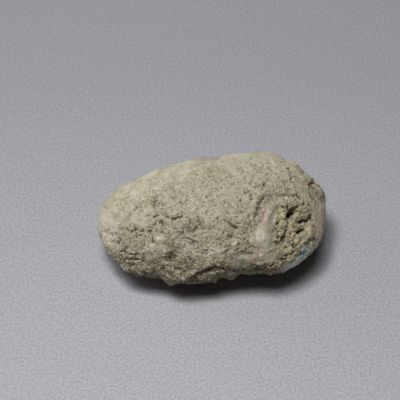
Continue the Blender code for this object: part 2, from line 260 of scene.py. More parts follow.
def ovalReach(along, up, centreAlong, centreUp, halfLength, halfWidth, turn):
    # 0 at the centre of a turned ellipse, 1 on its edge
    across, over = turnedPlace(along, up, centreAlong, centreUp, turn)
    return np.hypot(across / halfLength, over / halfWidth)


def alongRoute(along, up, route):
    # 1 on the route's middle line, 0 at its half width
    nearest = np.full(len(along), -np.inf)
    for (x1, y1, w1), (x2, y2, w2) in zip(route, route[1:]):
        share = ((along - x1) * (x2 - x1) + (up - y1) * (y2 - y1)) / ((x2 - x1) ** 2 + (y2 - y1) ** 2)
        share = np.clip(share, 0.0, 1.0)
        gap = np.hypot(along - x1 - share * (x2 - x1), up - y1 - share * (y2 - y1))
        nearest = np.maximum(nearest, 1.0 - gap / (w1 + share * (w2 - w1)))
    return nearest


def wandered(points, along, up, bends):
    # the places on the face, shifted by noise so that drawn edges wander
    for size, reach, seed in bends:
        along = along + reach * gradientNoise(points, size, seed)
        up = up + reach * gradientNoise(points, size, seed + 1)
    return along, up


# Below this line the rind has flaked away
lowerBreak = {
    "line": (
        (-23.0, -3.0), (-16.0, -2.2), (-11.0, 0.0), (-4.0, 0.5), (2.0, -0.6), (7.0, -2.0), (10.0, -7.0),
        (14.0, -18.0),
    ),
    "wander": ((5.0, 1.6, 21), (1.8, 0.7, 22)),
    "depth": 0.3,
    "width": 2.6,
}

# Below this line the rind is sandy, though it hasn't flaked
sandy = {
    "line": ((-23.0, 0.0), (-17.0, 3.0), (-10.0, 6.5), (-2.0, 9.5), (8.0, 11.5), (16.0, 12.0), (23.0, 10.0)),
    "wander": ((3.0, 1.5, 25),),
    "width": 4.0,
    "most": ((-23.0, 0.45), (6.0, 0.6), (14.0, 0.9), (19.0, 0.9), (21.0, 0.4)),
}


def belowLine(points, along, up, look):
    # 0 above a wandering line on the face, 1 below it, a half on it
    line = np.interp(along, *zip(*look["line"]))
    for size, reach, seed in look["wander"]:
        line = line + reach * gradientNoise(points, size, seed)
    return ease((line - up) / look["width"] + 0.5)


chin = {
    "crest": (
        (-10.5, -13.5), (-8.6, -12.9), (-4.7, -11.4), (-2.9, -10.4), (0.7, -9.1), (4.2, -9.5), (9.0, -9.4),
        (15.0, -10.2),
    ),
    "height": 0.55,
    "swell": 2.2,
    "turn": 0.9,
    "ends": (2.0, 3.0),
}


def chinRelief(along, up):
    # a swelling e^(-distance above the crest), turned in steeply below it
    above = up - np.interp(along, *zip(*chin["crest"]))
    start, end = chin["ends"]
    faded = ease((along - chin["crest"][0][0]) / start) * ease((chin["crest"][-1][0] - along) / end)
    swelling = np.exp(-np.maximum(above, 0.0) / chin["swell"])
    return chin["height"] * faded * swelling * (1.0 - ease(-above / chin["turn"]))


# Sunken places with a step round them, which fades out towards one side. Place is along, up, half
# length, half width, turn. The edge is the step's width as a share of the half length
steps = {
    "window": {
        "place": (15.3, -0.7, 6.2, 6.4, 0),
        "depth": 0.55, "edge": 0.5, "fadeTowards": -55, "fade": (0.0, 6.0),
    },
    "ledge": {
        "place": (13.2, 0.6, 5.0, 5.0, 0),
        "depth": 0.6, "edge": 0.12, "fadeTowards": -60, "fade": (-3.6, 2.6),
    },
    "facet": {
        "place": (22.3, 5.6, 2.9, 2.6, 0),
        "depth": 0.9, "edge": 0.15, "fadeTowards": -10, "fade": (-2.2, 2.5),
    },
}


def stepRelief(along, up):
    # a step down inside each oval: smooth step of the share left to the edge, times the fade
    relief = np.zeros(len(along))
    for step in steps.values():
        inside = ease((1.0 - ovalReach(along, up, *step["place"])) / step["edge"])
        towards, _ = turnedPlace(along, up, *step["place"][:2], step["fadeTowards"])
        start, length = step["fade"]
        relief -= step["depth"] * inside * ease(1.0 - (towards - start) / length)
    return relief


# The crumbly plug in the window. Balls: along, up, half length, half width, turn, height.
# Crumbs: size, height, seed
plug = {
    "place": (16.3, -2.6, 7.2, 4.5, 98),
    "balls": (
        (15.7, 3.2, 1.6, 1.3, 15, 0.9),
        (14.0, 1.0, 1.3, 1.4, 0, 0.9),
        (18.6, 1.3, 1.7, 1.6, 0, 1.3),
        (17.6, 3.6, 1.0, 0.8, 0, 0.5),
        (16.6, -1.4, 1.7, 1.7, 0, 0.8),
        (14.1, -2.0, 1.1, 1.5, -20, 0.5),
        (16.4, -4.2, 1.7, 1.3, 20, 0.5),
        (19.2, -3.2, 1.8, 1.1, 45, 0.6),
        (14.9, -6.0, 1.8, 1.3, 0, 0.5),
        (17.9, -5.9, 1.5, 1.2, 0, 0.4),
        (12.5, -7.6, 1.8, 1.2, 0, 0.45),
        (16.3, -8.3, 2.2, 1.3, 15, 0.4),
    ),
    "crumbs": ((2.2, 0.15, 31), (1.1, 0.26, 32), (0.6, 0.1, 33)),
    "groove": 0.35,
    "rounding": 0.6,
    "level": 0.4,
    "bend": 0.25,  # how far the crumbs are bent out of their plain cell shapes, in sizes
    "bendSeeds": (61, 62, 63),
    "fullFrom": 0.5,  # the crumbs have their full height from here on the way to the plug's middle
}


def crumbRelief(points, along, up):
    # balls as caps sqrt(1 - r^2), with rounded crumbs and the grooves between them laid over
    height = np.zeros(len(points))
    for *place, ballHeight in plug["balls"]:
        cap = np.sqrt(np.maximum(1.0 - ovalReach(along, up, *place) ** 2, 0.0))
        height = np.maximum(height, ballHeight * cap)
    for size, crumbHeight, seed in plug["crumbs"]:
        toCentre, toBorder, _ = cellGaps(bent(points, size, plug["bend"], plug["bendSeeds"]), size, seed)
        crumb = ease(toBorder / plug["groove"]) - plug["rounding"] * toCentre - plug["level"]
        height += crumbHeight * crumb
    return height


# What is drawn on the face, whose edges wander by noise of these sizes, reaches and seeds
faceForms = {
    "wander": ((4.0, 0.4, 41), (1.6, 0.3, 43), (0.7, 0.18, 45)),
    # Rolls, cracks and ledges: routes of (along, up, half width), then the height
    "routes": {
        "opalRoll": (
            ((14.2, 4.0, 0.9), (12.8, 3.4, 1.3), (12.0, 2.2, 1.4), (11.6, 0.8, 1.2), (11.3, -0.8, 1.4),
             (11.2, -2.6, 2.2), (10.8, -4.4, 2.2)), 0.3,
        ),
        "plugCrack": (
            ((16.0, 0.9, 0.5), (15.3, -0.7, 0.4), (15.2, -2.1, 0.35), (14.6, -3.4, 0.35), (13.1, -4.8, 0.3)),
            -0.9,
        ),
        "pitArmLeft": (((16.0, 0.9, 0.5), (15.1, 2.1, 0.3)), -1.0),
        "pitArmRight": (((16.0, 0.9, 0.5), (17.3, 1.6, 0.3)), -1.0),
        "ballShadow": (((16.6, -0.1, 0.4), (17.8, -0.7, 0.6), (19.0, -0.4, 0.5)), -0.6),
        "leftLedge": (((-16.2, -2.6, 0.5), (-15.6, -2.0, 0.8), (-14.2, -2.3, 0.7), (-12.4, -2.8, 0.5)), -0.3),
        "middleLedge": (((-11.8, 0.2, 0.5), (-10.4, 0.6, 0.6), (-8.6, 0.1, 0.6), (-6.4, 0.5, 0.4)), -0.3),
        "thinCrack": (((-6.0, -3.8, 0.4), (-4.4, -4.3, 0.5), (-2.8, -4.9, 0.4)), -0.3),
        "leftStratumUpper": (((-18.4, -6.6, 0.3), (-16.6, -7.0, 0.45), (-15.0, -7.1, 0.3)), -0.4),
        "leftStratumLower": (((-17.4, -8.0, 0.3), (-15.6, -8.3, 0.45), (-13.8, -8.8, 0.3)), -0.4),
        "lobeGap": (((-6.0, -12.6, 0.6), (-2.6, -11.3, 0.8), (0.8, -9.9, 0.7), (2.6, -9.6, 0.4)), -0.3),
    },
    "flatWidths": {"ballShadow": 0.2},  # share of a route's width that is flat, where it isn't 0
    # Mounds and hollows: along, up, half length, half width, turn in degrees, height
    "mounds": (
        (16.1, 1.0, 1.1, 0.9, 30, -2.6),  # deep pit in the plug
        (17.8, -2.5, 0.9, 0.6, 30, -1.0),  # dark hollow below it
        (-8.6, -12.7, 1.6, 1.2, 20, 0.25),  # the chin's pointed tip
        (4.3, -11.9, 1.2, 0.9, 0, 0.4),  # small knobs along the lower edge
        (14.3, -11.2, 1.3, 1.0, 0, 0.5),
        (1.1, 12.3, 1.3, 0.9, 0, -0.45),  # notch in the upper edge
        (-4.0, -2.0, 2.2, 1.7, 0, -0.4),  # shallow hollows in the rind
        (-11.8, 3.4, 1.5, 1.7, 0, -0.3),
        (-10.6, -1.1, 1.4, 0.9, 20, -0.55),
        (-8.4, -8.4, 1.6, 1.3, 30, -0.45),
        (-5.4, -10.0, 2.2, 1.3, 20, -0.6),
        (4.8, -0.8, 1.7, 1.2, 0, -0.4),
        (-0.8, -7.4, 1.7, 1.2, 0, -0.45),
        (6.4, -7.2, 1.6, 1.1, 0, -0.4),
        (-15.6, -9.0, 2.4, 1.4, -20, -0.5),
        (-10.4, -6.4, 2.3, 2.1, 0, 0.4),  # smooth skin patch that stands a little proud
        (-9.2, -2.4, 1.4, 0.7, 0, 0.4),
        (5.3, -2.6, 1.2, 0.9, 0, 0.4),
        (-2.2, -12.0, 4.2, 1.2, 0, 0.35),  # lobe under the chin
        (1.7, -12.2, 1.2, 0.9, 0, -0.5),  # and the bay beside it
        (9.2, -9.9, 1.3, 0.9, 0, -0.5),  # dark pocket beside the lower opal
    ),
    "moundEdge": 1.5,  # a mound ends at this many of its half lengths
}


def withinMound(along, up, *place):
    # 1 at the centre of a turned ellipse, falling smoothly to 0 at its edge
    return ease(1.0 - ovalReach(along, up, *place) / faceForms["moundEdge"])


def faceRelief(points, inPlug):
    along, up = seenPlaces(points)
    relief = chinRelief(along, up)
    along, up = wandered(points, along, up, faceForms["wander"])
    relief += stepRelief(along, up)
    for name, (route, height) in faceForms["routes"].items():
        sloping = 1.0 - faceForms["flatWidths"].get(name, 0.0)
        relief += height * ease(alongRoute(along, up, route) / sloping)
    for *place, height in faceForms["mounds"]:
        relief += height * withinMound(along, up, *place)
    relief -= lowerBreak["depth"] * belowLine(points, along, up, lowerBreak)
    return relief + crumbRelief(points, along, up) * inPlug


# Fine relief of the sandy rind
sand = {
    # size, height on the smooth rind, height where it has flaked, seed
    "waves": ((2.4, 0.03, 0.3, 70), (1.3, 0.04, 0.2, 71), (0.7, 0.03, 0.12, 72), (0.4, 0.02, 0.06, 73)),
    "clods": ((2.0, 0.0, 0.22, 77), (1.2, 0.0, 0.18, 74), (0.7, 0.02, 0.16, 75), (0.45, 0.035, 0.11, 76)),
    # cell size, share of cells with a pore, radius and depth in cell sizes, seed
    "pores": ((1.7, 0.4, 0.2, 0.22, 81), (0.9, 0.25, 0.25, 0.25, 82)),
    "bend": 0.3,
    "poreBend": 0.5,
    "bendSeeds": (20, 30, 40),  # added to the seed of the clods or pores that are bent
    "thicker": (3.6, 0.45, 1.1, 83),  # pores and clods come in patches: size, middle, contrast, seed
    "leastClod": 0.3,  # height of the lowest clod, as a share of the highest
    "leastBetween": 0.4,  # height of the clods between the patches
    "clodFall": 2.0,
    "leastPore": 0.5,  # width of the narrowest pore, as a share of the widest
    "leastSmooth": 0.25,  # depth of the pores on the smooth rind
    "poreEdge": 1.5,
}


def sandRelief(points, rough):
    # waves of noise, clods as cells that fall away from their centres, and round pores
    relief = np.zeros(len(points))
    size, middle, contrast, seed = sand["thicker"]
    patch = ease(middle + contrast * gradientNoise(points, size, seed))
    for size, smoothHeight, roughHeight, seed in sand["waves"]:
        relief += blend(smoothHeight, roughHeight, rough) * gradientNoise(points, size, seed)
    for size, smoothHeight, roughHeight, seed in sand["clods"]:
        seeds = [seed + more for more in sand["bendSeeds"]]
        toCentre, _, draw = cellGaps(bent(points, size, sand["bend"], seeds), size, seed)
        clod = blend(sand["leastClod"], 1.0, draw) * blend(sand["leastBetween"], 1.0, patch)
        relief += blend(smoothHeight, roughHeight, rough) * clod * (1.0 - sand["clodFall"] * toCentre ** 2)
    for size, share, radius, depth, seed in sand["pores"]:
        seeds = [seed + more for more in sand["bendSeeds"]]
        toCentre, _, draw = cellGaps(bent(points, size, sand["poreBend"], seeds), size, seed)
        width = radius * blend(sand["leastPore"], 1.0, draw / share)
        pore = (draw < share) * patch * ease(sand["poreEdge"] * (1.0 - toCentre / width))
        relief -= size * depth * blend(sand["leastSmooth"], 1.0, rough) * pore
    return relief


# Where opal shows through, on the face. Spots: along, up, half length, half width, turn
opalPlaces = {
    "spots": (
        (17.0, -9.0, 3.5, 1.7, 22),
        (18.8, -7.0, 2.9, 1.9, 48),
        (11.6, -7.5, 1.6, 0.8, -25),
        (14.2, -10.5, 0.8, 0.6, 0),
    ),
    "routes": (
        ((15.2, 4.0, 0.6), (13.9, 3.8, 1.1), (12.7, 3.1, 1.6), (12.0, 2.0, 1.6), (11.5, 0.8, 1.5),
         (11.1, -0.8, 1.7), (10.9, -2.6, 2.2), (10.5, -4.2, 2.4)),
        ((5.2, -9.3, 1.4), (6.6, -8.4, 1.5), (8.2, -7.6, 0.9), (9.8, -6.2, 0.9)),
    ),
}


def opalShare(along, up):
    # how much opal shows at each point, from -1 to 1, 0 on its border
    shares = [alongRoute(along, up, route) for route in opalPlaces["routes"]]
    shares += [1.0 - ovalReach(along, up, *spot) for spot in opalPlaces["spots"]]
    return np.clip(np.max(shares, axis=0), -1.0, 1.0)


# Tints, bare skin, painted light and painted shade, on the face: each is a colour, its strength, and ellipses
# as above
tints = {
    "dust": ("#b9b29b", 0.8, (
        (11.0, 15.0, 12.0, 9.5, 0), (-1.0, -6.4, 8.0, 1.8, 0), (-13.0, -6.2, 1.8, 1.2, 0))),
    "skin": ("#aba28e", 0.7, (
        (-10.6, -6.4, 2.4, 2.2, 0), (22.2, -0.8, 2.0, 5.4, 0), (-9.2, -2.2, 1.6, 0.8, 0))),
    # smooth khaki skin on the facet, darkened further as painted shade
    "khaki": ("#6c6654", 0.9, ((22.0, 5.4, 2.3, 3.0, 0),)),
    # painted shade in brown: in the rind's hollows, beside the opal roll and across the lower face
    "paintedBrownShade": ("#7d725a", 0.75, (
        (9.6, 1.6, 1.2, 3.4, -12), (-11.8, 3.3, 1.1, 1.5, 0), (-3.6, -1.3, 2.4, 1.2, -10),
        (-9.2, -0.8, 1.6, 0.7, 0), (7.4, -1.2, 3.0, 2.0, 20), (-5.4, -8.7, 3.6, 1.6, -15))),
    # pale chalky spots, and painted light on the top edges and the left end
    "chalkAndPaintedLight": ("#d2cdb8", 0.7, (
        (-10.2, -3.7, 1.7, 0.7, 10), (-12.0, -5.3, 0.9, 0.6, 20), (-12.4, 8.9, 3.0, 0.6, 20),
        (5.3, 12.7, 3.4, 0.7, 0), (18.0, -4.8, 1.1, 0.7, 35), (0.6, -6.3, 2.6, 0.9, 15),
        (-23.5, -3.0, 7.0, 6.5, 0), (4.6, -4.6, 2.2, 0.9, 10))),
    "teal": ("#8db0a6", 0.8, ((18.2, -7.1, 2.6, 1.5, 45),)),
    "sulphur": ("#bbb483", 0.6, ((14.2, 1.0, 1.2, 1.0, 0),)),
    "rose": ("#a3857a", 0.5, (
        (17.4, -4.9, 1.0, 0.6, 35), (21.8, -1.2, 1.4, 4.4, 0), (10.2, 0.6, 1.4, 2.2, 0),
        (21.0, 7.6, 1.6, 1.6, 0), (-1.0, 12.0, 2.6, 0.9, 0))),
    "celadon": ("#9fa18f", 0.6, (
        (10.4, -4.2, 2.3, 2.0, 0), (5.6, -7.5, 2.4, 0.9, 20), (11.6, -7.6, 1.6, 0.8, -25))),
    # blue-grey opal at the lower right, lightened near white as painted light where the surface looks down
    "smokeAndPaintedLight": ("#dcdfda", 0.85, ((17.2, -9.1, 3.5, 1.6, 22),)),
    "murk": ("#6f6e5b", 0.8, ((6.2, -9.4, 3.0, 1.7, 0),)),
    # olive-green patches, and painted shade on the plug's big ball and under the lower opal
    "moss": ("#625c33", 0.75, (
        (13.3, 2.0, 0.6, 0.8, 0), (18.4, 0.4, 1.6, 1.5, 0), (15.8, -4.8, 1.2, 0.8, 0),
        (11.6, -9.5, 3.6, 1.2, 5), (2.6, -9.8, 2.0, 0.9, 20))),
    # painted shade: near black under the chin's lobe and in the pocket beside the lower opal
    "paintedDeepShade": ("#3d3822", 0.62, ((-2.4, -12.3, 4.2, 1.2, 8), (9.2, -9.9, 1.9, 1.3, 0))),
}
tintEdge = 1.6  # how fast a tint grows inwards from its ellipse's edge


def tintShare(along, up, ellipses):
    # 1 in the middle of each ellipse, 0 at its edge
    return np.max([ease(tintEdge * (1.0 - ovalReach(along, up, *place))) for place in ellipses], axis=0)


def vertexNormals(points, quads):
    # at each point the sum of its squares' normals, each the cross product of the square's diagonals
    corners = points[quads]
    turned = np.cross(corners[:, 2] - corners[:, 0], corners[:, 3] - corners[:, 1])
    normals = np.zeros_like(points)
    for corner in quads.T:
        for axis in range(3):
            normals[:, axis] += np.bincount(corner, turned[:, axis], len(points))
    return normals / np.linalg.norm(normals, axis=1, keepdims=True)


def neighbourMean(values, quads, passes):
    # each value moves half way to the mean of its ring of neighbours, over and over
    ends = np.concatenate([quads[:, (k, (k + 1) % 4)] for k in range(4)])
    ends = np.concatenate((ends, ends[:, ::-1]))
    count = np.bincount(ends[:, 0], minlength=len(values))[:, None]
    for _ in range(passes):
        total = [np.bincount(ends[:, 0], column[ends[:, 1]], len(values)) for column in values.T]
        values = 0.5 * values + 0.5 * np.stack(total, axis=1) / count
    return values


# How the stone's relief and marks are put together
buildUp = {
    # Lumps all over: size, height on the smooth rind, height on the rough face, seed
    "lumps": (
        (13.0, 0.45, 0.45, 11),
        (6.5, 0.30, 0.40, 12),
        (3.2, 0.10, 0.26, 13),
        (1.7, 0.03, 0.16, 14),
    ),
    "facing": (-0.3, 0.35),  # where the face's relief fades in from round the edge: start and width
    "farRoughness": 0.5,
    "tintWander": ((2.0, 0.7, 45), (0.7, 0.35, 47)),
    "opalEdge": 0.3,  # how far in from its edge the opal is smooth
    "skinSmoothness": 0.85,
    "murkRoughness": 0.4,  # share of the smoothness that is lost in murk
    "mostSmoothing": 0.9,
    "paintedShadeRise": (1.0, 10.0),  # painted shade grows from this far below the middle of the face, over this width
    "farPaintedShade": 0.5,  # on the far side the painted shade starts where the surface looks up by less than this
    "hollows": {"hollowFine": 8, "hollowBroad": 80},  # rounds of smoothing that shows each kind of hollow, which gets painted shade
}


def stoneSurface():
    # the stone as a function of direction from its middle: body, then height along its normal
    directions, quads = sphereGrid(stone["gridCount"], stone["facePull"])
    body = flattened(bodyPoints(directions))
    normals = vertexNormals(body, quads)
    onFace = rise(normals @ faceAxes()[1], *buildUp["facing"])
    along, up = seenPlaces(body)
    inPlug = withinMound(along, up, *plug["place"])
    sandiness = np.interp(along, *zip(*sandy["most"])) * belowLine(body, along, up, sandy)
    rough = np.maximum.reduce((belowLine(body, along, up, lowerBreak), inPlug, sandiness)) * onFace
    rough = np.maximum(rough, buildUp["farRoughness"] * (1.0 - onFace))
    height = faceRelief(body, ease(inPlug / plug["fullFrom"])) * onFace + farRelief(directions)
    for size, smoothHeight, roughHeight, seed in buildUp["lumps"]:
        height += blend(smoothHeight, roughHeight, rough) * gradientNoise(body, size, seed)
    tintPlaces = wandered(body, along, up, buildUp["tintWander"])
    opal = np.where(onFace > 0.0, opalShare(*tintPlaces), -1.0)
    tinted = {name: tintShare(*tintPlaces, ellipses) * onFace for name, (_, _, ellipses) in tints.items()}
    skin = buildUp["skinSmoothness"] * np.maximum(tinted["skin"], tinted["khaki"])
    smooth = np.maximum(ease(opal / buildUp["opalEdge"]), skin)
    smooth = smooth * (1.0 - buildUp["murkRoughness"] * tinted["murk"])
    height += sandRelief(body, rough) * (1.0 - buildUp["mostSmoothing"] * smooth)
    points = body + height[:, None] * normals + stoneMiddle()
    points[:, 2] = np.maximum(points[:, 2], 0.0)
    finalNormals = vertexNormals(points, quads)
    # painted shade: darker towards the bottom of the face, and on the far side where the surface looks down
    paintedShadeBelow = blend(ease(buildUp["farPaintedShade"] - normals[:, 2]), rise(-up, *buildUp["paintedShadeRise"]), onFace)
    hollows = {name: np.sum((neighbourMean(points, quads, passes) - points) * finalNormals, axis=1)
               for name, passes in buildUp["hollows"].items()}
    marks = {"paintedShadeBelow": paintedShadeBelow, **hollows, "opal": opal, "plug": inPlug, "rough": rough, **tinted}
    return points, quads, finalNormals, marks


def grainSurface(count):
    # A grain as a function of ring and step: a pole at each end, and between them two rings of five, at
    # heights 1 / sqrt 5 and -1 / sqrt 5. The lower ring is the upper one seen through the middle.
    angle = np.arange(5) * 2.0 * math.pi / 5.0
    upper = np.stack((2.0 * np.cos(angle), 2.0 * np.sin(angle), np.ones(5)), axis=1) / math.sqrt(5.0)
    corners = np.concatenate(([(0.0, 0.0, 1.0)], upper, -upper, [(0.0, 0.0, -1.0)]))
    k = np.arange(5)
    after = (k + 1) % 5
    opposite = (k + 3) % 5
    beyond = (opposite + 1) % 5
    faces = np.concatenate((
        np.stack((np.zeros(5, int), 1 + k, 1 + after), axis=1),
        np.stack((1 + k, 6 + opposite, 1 + after), axis=1),
        np.stack((1 + after, 6 + opposite, 6 + beyond), axis=1),
        np.stack((np.full(5, 11), 6 + beyond, 6 + opposite), axis=1),
    ))
    return corners, (faces[None] + len(corners) * np.arange(count)[:, None, None]).reshape(-1, 3)


def scatterGrains(look, points, quads, normals, weight, marks):
    # Grains at random places on the stone: area times weight gives the chance of a square, and each
    # grain is a stretched and dented ball, sunk partly into the surface along its normal.
    draws = np.random.default_rng(look["seed"])
    count = look["count"]
    corners = points[quads]
    area = 0.5 * np.linalg.norm(
        np.cross(corners[:, 2] - corners[:, 0], corners[:, 3] - corners[:, 1]), axis=1)
    chance = area * weight[quads].mean(axis=1)
    chosen = draws.choice(len(quads), count, p=chance / chance.sum())
    s, t = draws.uniform(0.0, 1.0, (2, count, 1))
    shares = np.stack(((1 - s) * (1 - t), s * (1 - t), s * t, (1 - s) * t), axis=1)

    def atGrains(values):
        # what the chosen squares' corners say, shared out to the grains' places
        return np.sum(values[quads[chosen]] * shares, axis=1)

    normal = atGrains(normals) + draws.normal(0.0, look["tilt"], (count, 3))
    normal /= np.linalg.norm(normal, axis=1, keepdims=True)
    side = np.cross(normal, draws.normal(size=(count, 3)))
    side /= np.linalg.norm(side, axis=1, keepdims=True)
    axes = np.stack((side, np.cross(normal, side), normal), axis=1)
    low, high = look["radius"]
    radius = low * (high / low) ** (draws.uniform(0.0, 1.0, (count, 1)) ** look["fineness"])
    radius *= 1.0 - look["finerWhereSmooth"] * (1.0 - atGrains(marks["rough"][:, None]))
    stretch = draws.uniform(*look["stretch"], (count, 1, 3)) * np.array((1.0, 1.0, look["flatness"]))
    ball, faces = grainSurface(count)
    dent = draws.uniform(1.0 - look["dent"], 1.0 + look["dent"], (count, len(ball), 1))
    local = ball[None] * dent * stretch * radius[:, None]
    grain = (atGrains(points) - look["sunk"] * radius * normal)[:, None] + local @ axes
    grain[..., 2] = np.maximum(grain[..., 2], 0.0)
    grainMarks = {"draw": np.repeat(draws.uniform(0.0, 1.0, count), len(ball))}
    for mark in ("hollowBroad", "rough", "paintedShadeBelow", *tints):
        grainMarks[mark] = np.repeat(atGrains(marks[mark][:, None]), len(ball))
    return grain.reshape(-1, 3), faces, grainMarks


def makePiece(name, points, faces, marks, materials, slots=None):
    mesh = bpy.data.meshes.new(name)
    mesh.vertices.add(len(points))
    mesh.vertices.foreach_set("co", (points * mm).ravel())
    mesh.loops.add(faces.size)
    mesh.loops.foreach_set("vertex_index", faces.ravel().astype(np.int32))
    mesh.polygons.add(len(faces))
    mesh.polygons.foreach_set("loop_start", np.arange(0, faces.size, faces.shape[1], dtype=np.int32))
    for mark, values in marks.items():
        attribute = mesh.attributes.new(mark, "FLOAT", "POINT")
        attribute.data.foreach_set("value", values.astype(np.float32))
    for material in materials:
        mesh.materials.append(material)
    mesh.update(calc_edges=True)
    if slots is not None:
        mesh.polygons.foreach_set("material_index", slots.astype(np.int32))
        mesh.shade_smooth()
    piece = bpy.data.objects.new(name, mesh)
    bpy.context.scene.collection.objects.link(piece)
    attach(piece, "root")
    return piece


def fromHex(text):
    # sRGB hex to linear: below 0.04045 c / 12.92, above ((c + 0.055) / 1.055)^2.4
    channels = [int(text[k:k + 2], 16) / 255.0 for k in (1, 3, 5)]
    return tuple(c / 12.92 if c <= 0.04045 else ((c + 0.055) / 1.055) ** 2.4 for c in channels) + (1.0,)


def perMetre(sizeMm):
    # a texture's scale for a pattern of this real size
    return 1.0 / (sizeMm * mm)


# A Mix node's colour sockets go by number, because it has others of the same names
shareIn, underIn, overIn, mixOut = 0, 6, 7, 2


def feed(tree, node, inputs):
    # each input takes a value, or a link from another node's output
    for socket, value in inputs.items():
        if isinstance(value, bpy.types.NodeSocket):
            tree.links.new(value, node.inputs[socket])
        else:
            node.inputs[socket].default_value = value


def addNode(tree, kind, output, inputs=None, stops=(), **settings):
    # one node with its settings, inputs and colour ramp stops, which gives back one of its outputs
    node = tree.nodes.new(kind)
    for name, value in settings.items():
        setattr(node, name, value)
    feed(tree, node, inputs or {})
    if stops:
        ramp = node.color_ramp.elements
        while len(ramp) < len(stops):
            ramp.new(1.0)
        for element, (position, colour) in zip(ramp, stops):
            element.position = position
            element.color = fromHex(colour)
    return node.outputs[output]


def startMaterial(name):
    material = bpy.data.materials.new(name)
    material.use_nodes = True
    tree = material.node_tree
    return material, tree, tree.nodes["Principled BSDF"], addNode(tree, "ShaderNodeTexCoord", "Object")


def finishSurface(tree, surface, look, colour, dullness, height):
    # dullness from 0 to 1 runs between the look's two roughnesses
    roughness = addNode(tree, "ShaderNodeMapRange", "Result", {"Value": dullness, **look["roughness"]})
    bump = addNode(tree, "ShaderNodeBump", "Normal", {"Height": height, **look["bump"]})
    feed(tree, surface, {"Base Color": colour, "Roughness": roughness, "Normal": bump, **look["shader"]})


def laidOver(tree, colour, layers):
    # each layer is one of the stone's marks, the range over which it shows, and the colour it lays over
    for mark, showing, over in layers:
        amount = addNode(tree, "ShaderNodeAttribute", "Fac", attribute_name=mark)
        share = addNode(tree, "ShaderNodeMapRange", "Result", {"Value": amount, **showing})
        colour = addNode(tree, "ShaderNodeMix", mixOut, {
            shareIn: share, underIn: colour, overIn: fromHex(over)}, data_type="RGBA")
    return colour


tintLayers = tuple((name, {"To Max": strength}, tint) for name, (tint, strength, _) in tints.items())

rindTones = {
    "cream": "#c3bca6",
    "sand": "#a79f86",
    "moss": "#b3af91",
    "blush": "#bdb09e",
    "bare": "#8c846c",  # where the pale dust has come off
    "paintedLowShade": "#6f6752",  # painted shade towards the underside
    "paleGrain": "#cfc9b4",
    "darkGrain": "#574e3c",
    "pore": "#352e1f",
}

# The names in the inner braces are those of a node's own inputs
tuff = {
    "tint": {"Scale": perMetre(9.0), "Detail": 3.0},
    "tintStops": (
        (0.36, rindTones["moss"]), (0.47, rindTones["cream"]), (0.55, rindTones["cream"]),
        (0.66, rindTones["blush"]),
    ),
    "cloud": {"Scale": perMetre(1.6), "Detail": 4.0, "Roughness": 0.65},
    "sandShowing": {"From Min": 0.42, "From Max": 0.62},
    # bared where the rind is rough, and painted shade towards the underside
    "wearAndPaintedShade": (
        ("rough", {"To Max": 0.75}, rindTones["bare"]),
        ("paintedShadeBelow", {"To Max": 0.75}, rindTones["paintedLowShade"]),
    ),
    "grains": {"Scale": perMetre(0.33), "Randomness": 1.0},
    "paleShowing": {"From Min": 0.55, "To Max": 0.6},
    "darkShowing": {"From Min": 0.82, "From Max": 0.93, "To Max": 0.65},
    "darkOnRough": {"From Max": 0.6, "To Min": 0.35},  # fewer dark grains show on the smooth rind
    # partly dirt, partly painted shade: darker towards the pore colour the deeper a place lies under its
    # neighbours
    "hollows": (
        ("hollowFine", {"From Min": 0.01, "From Max": 0.09, "To Max": 0.8}, rindTones["pore"]),
        ("hollowBroad", {"From Min": 0.03, "From Max": 0.4, "To Max": 0.6}, rindTones["pore"]),
    ),
    "grit": {"Scale": perMetre(0.3), "Detail": 3.0, "Roughness": 0.7},
    "grainHeight": 0.5,  # of the grains in the bump, beside grit of 1
    "roughness": {"To Min": 0.82, "To Max": 0.97},
    "bump": {"Strength": 0.9, "Distance": 0.18 * mm},
    "shader": {"Specular IOR Level": 0.25},
}


def rindColour(tree, place):
    # cream sand, clouded with darker sand and tinted pinkish or mossy in broad patches, then bared where
    # rough, darkened towards the underside as painted shade, and given the drawn tints
    tint = addNode(tree, "ShaderNodeTexNoise", "Fac", {"Vector": place, **tuff["tint"]})
    tinted = addNode(tree, "ShaderNodeValToRGB", "Color", {"Fac": tint}, tuff["tintStops"])
    cloud = addNode(tree, "ShaderNodeTexNoise", "Fac", {"Vector": place, **tuff["cloud"]})
    sandShare = addNode(tree, "ShaderNodeMapRange", "Result", {"Value": cloud, **tuff["sandShowing"]})
    clouded = addNode(tree, "ShaderNodeMix", mixOut, {
        shareIn: sandShare, underIn: tinted, overIn: fromHex(rindTones["sand"])}, data_type="RGBA")
    return laidOver(tree, clouded, tuff["wearAndPaintedShade"] + tintLayers), cloud


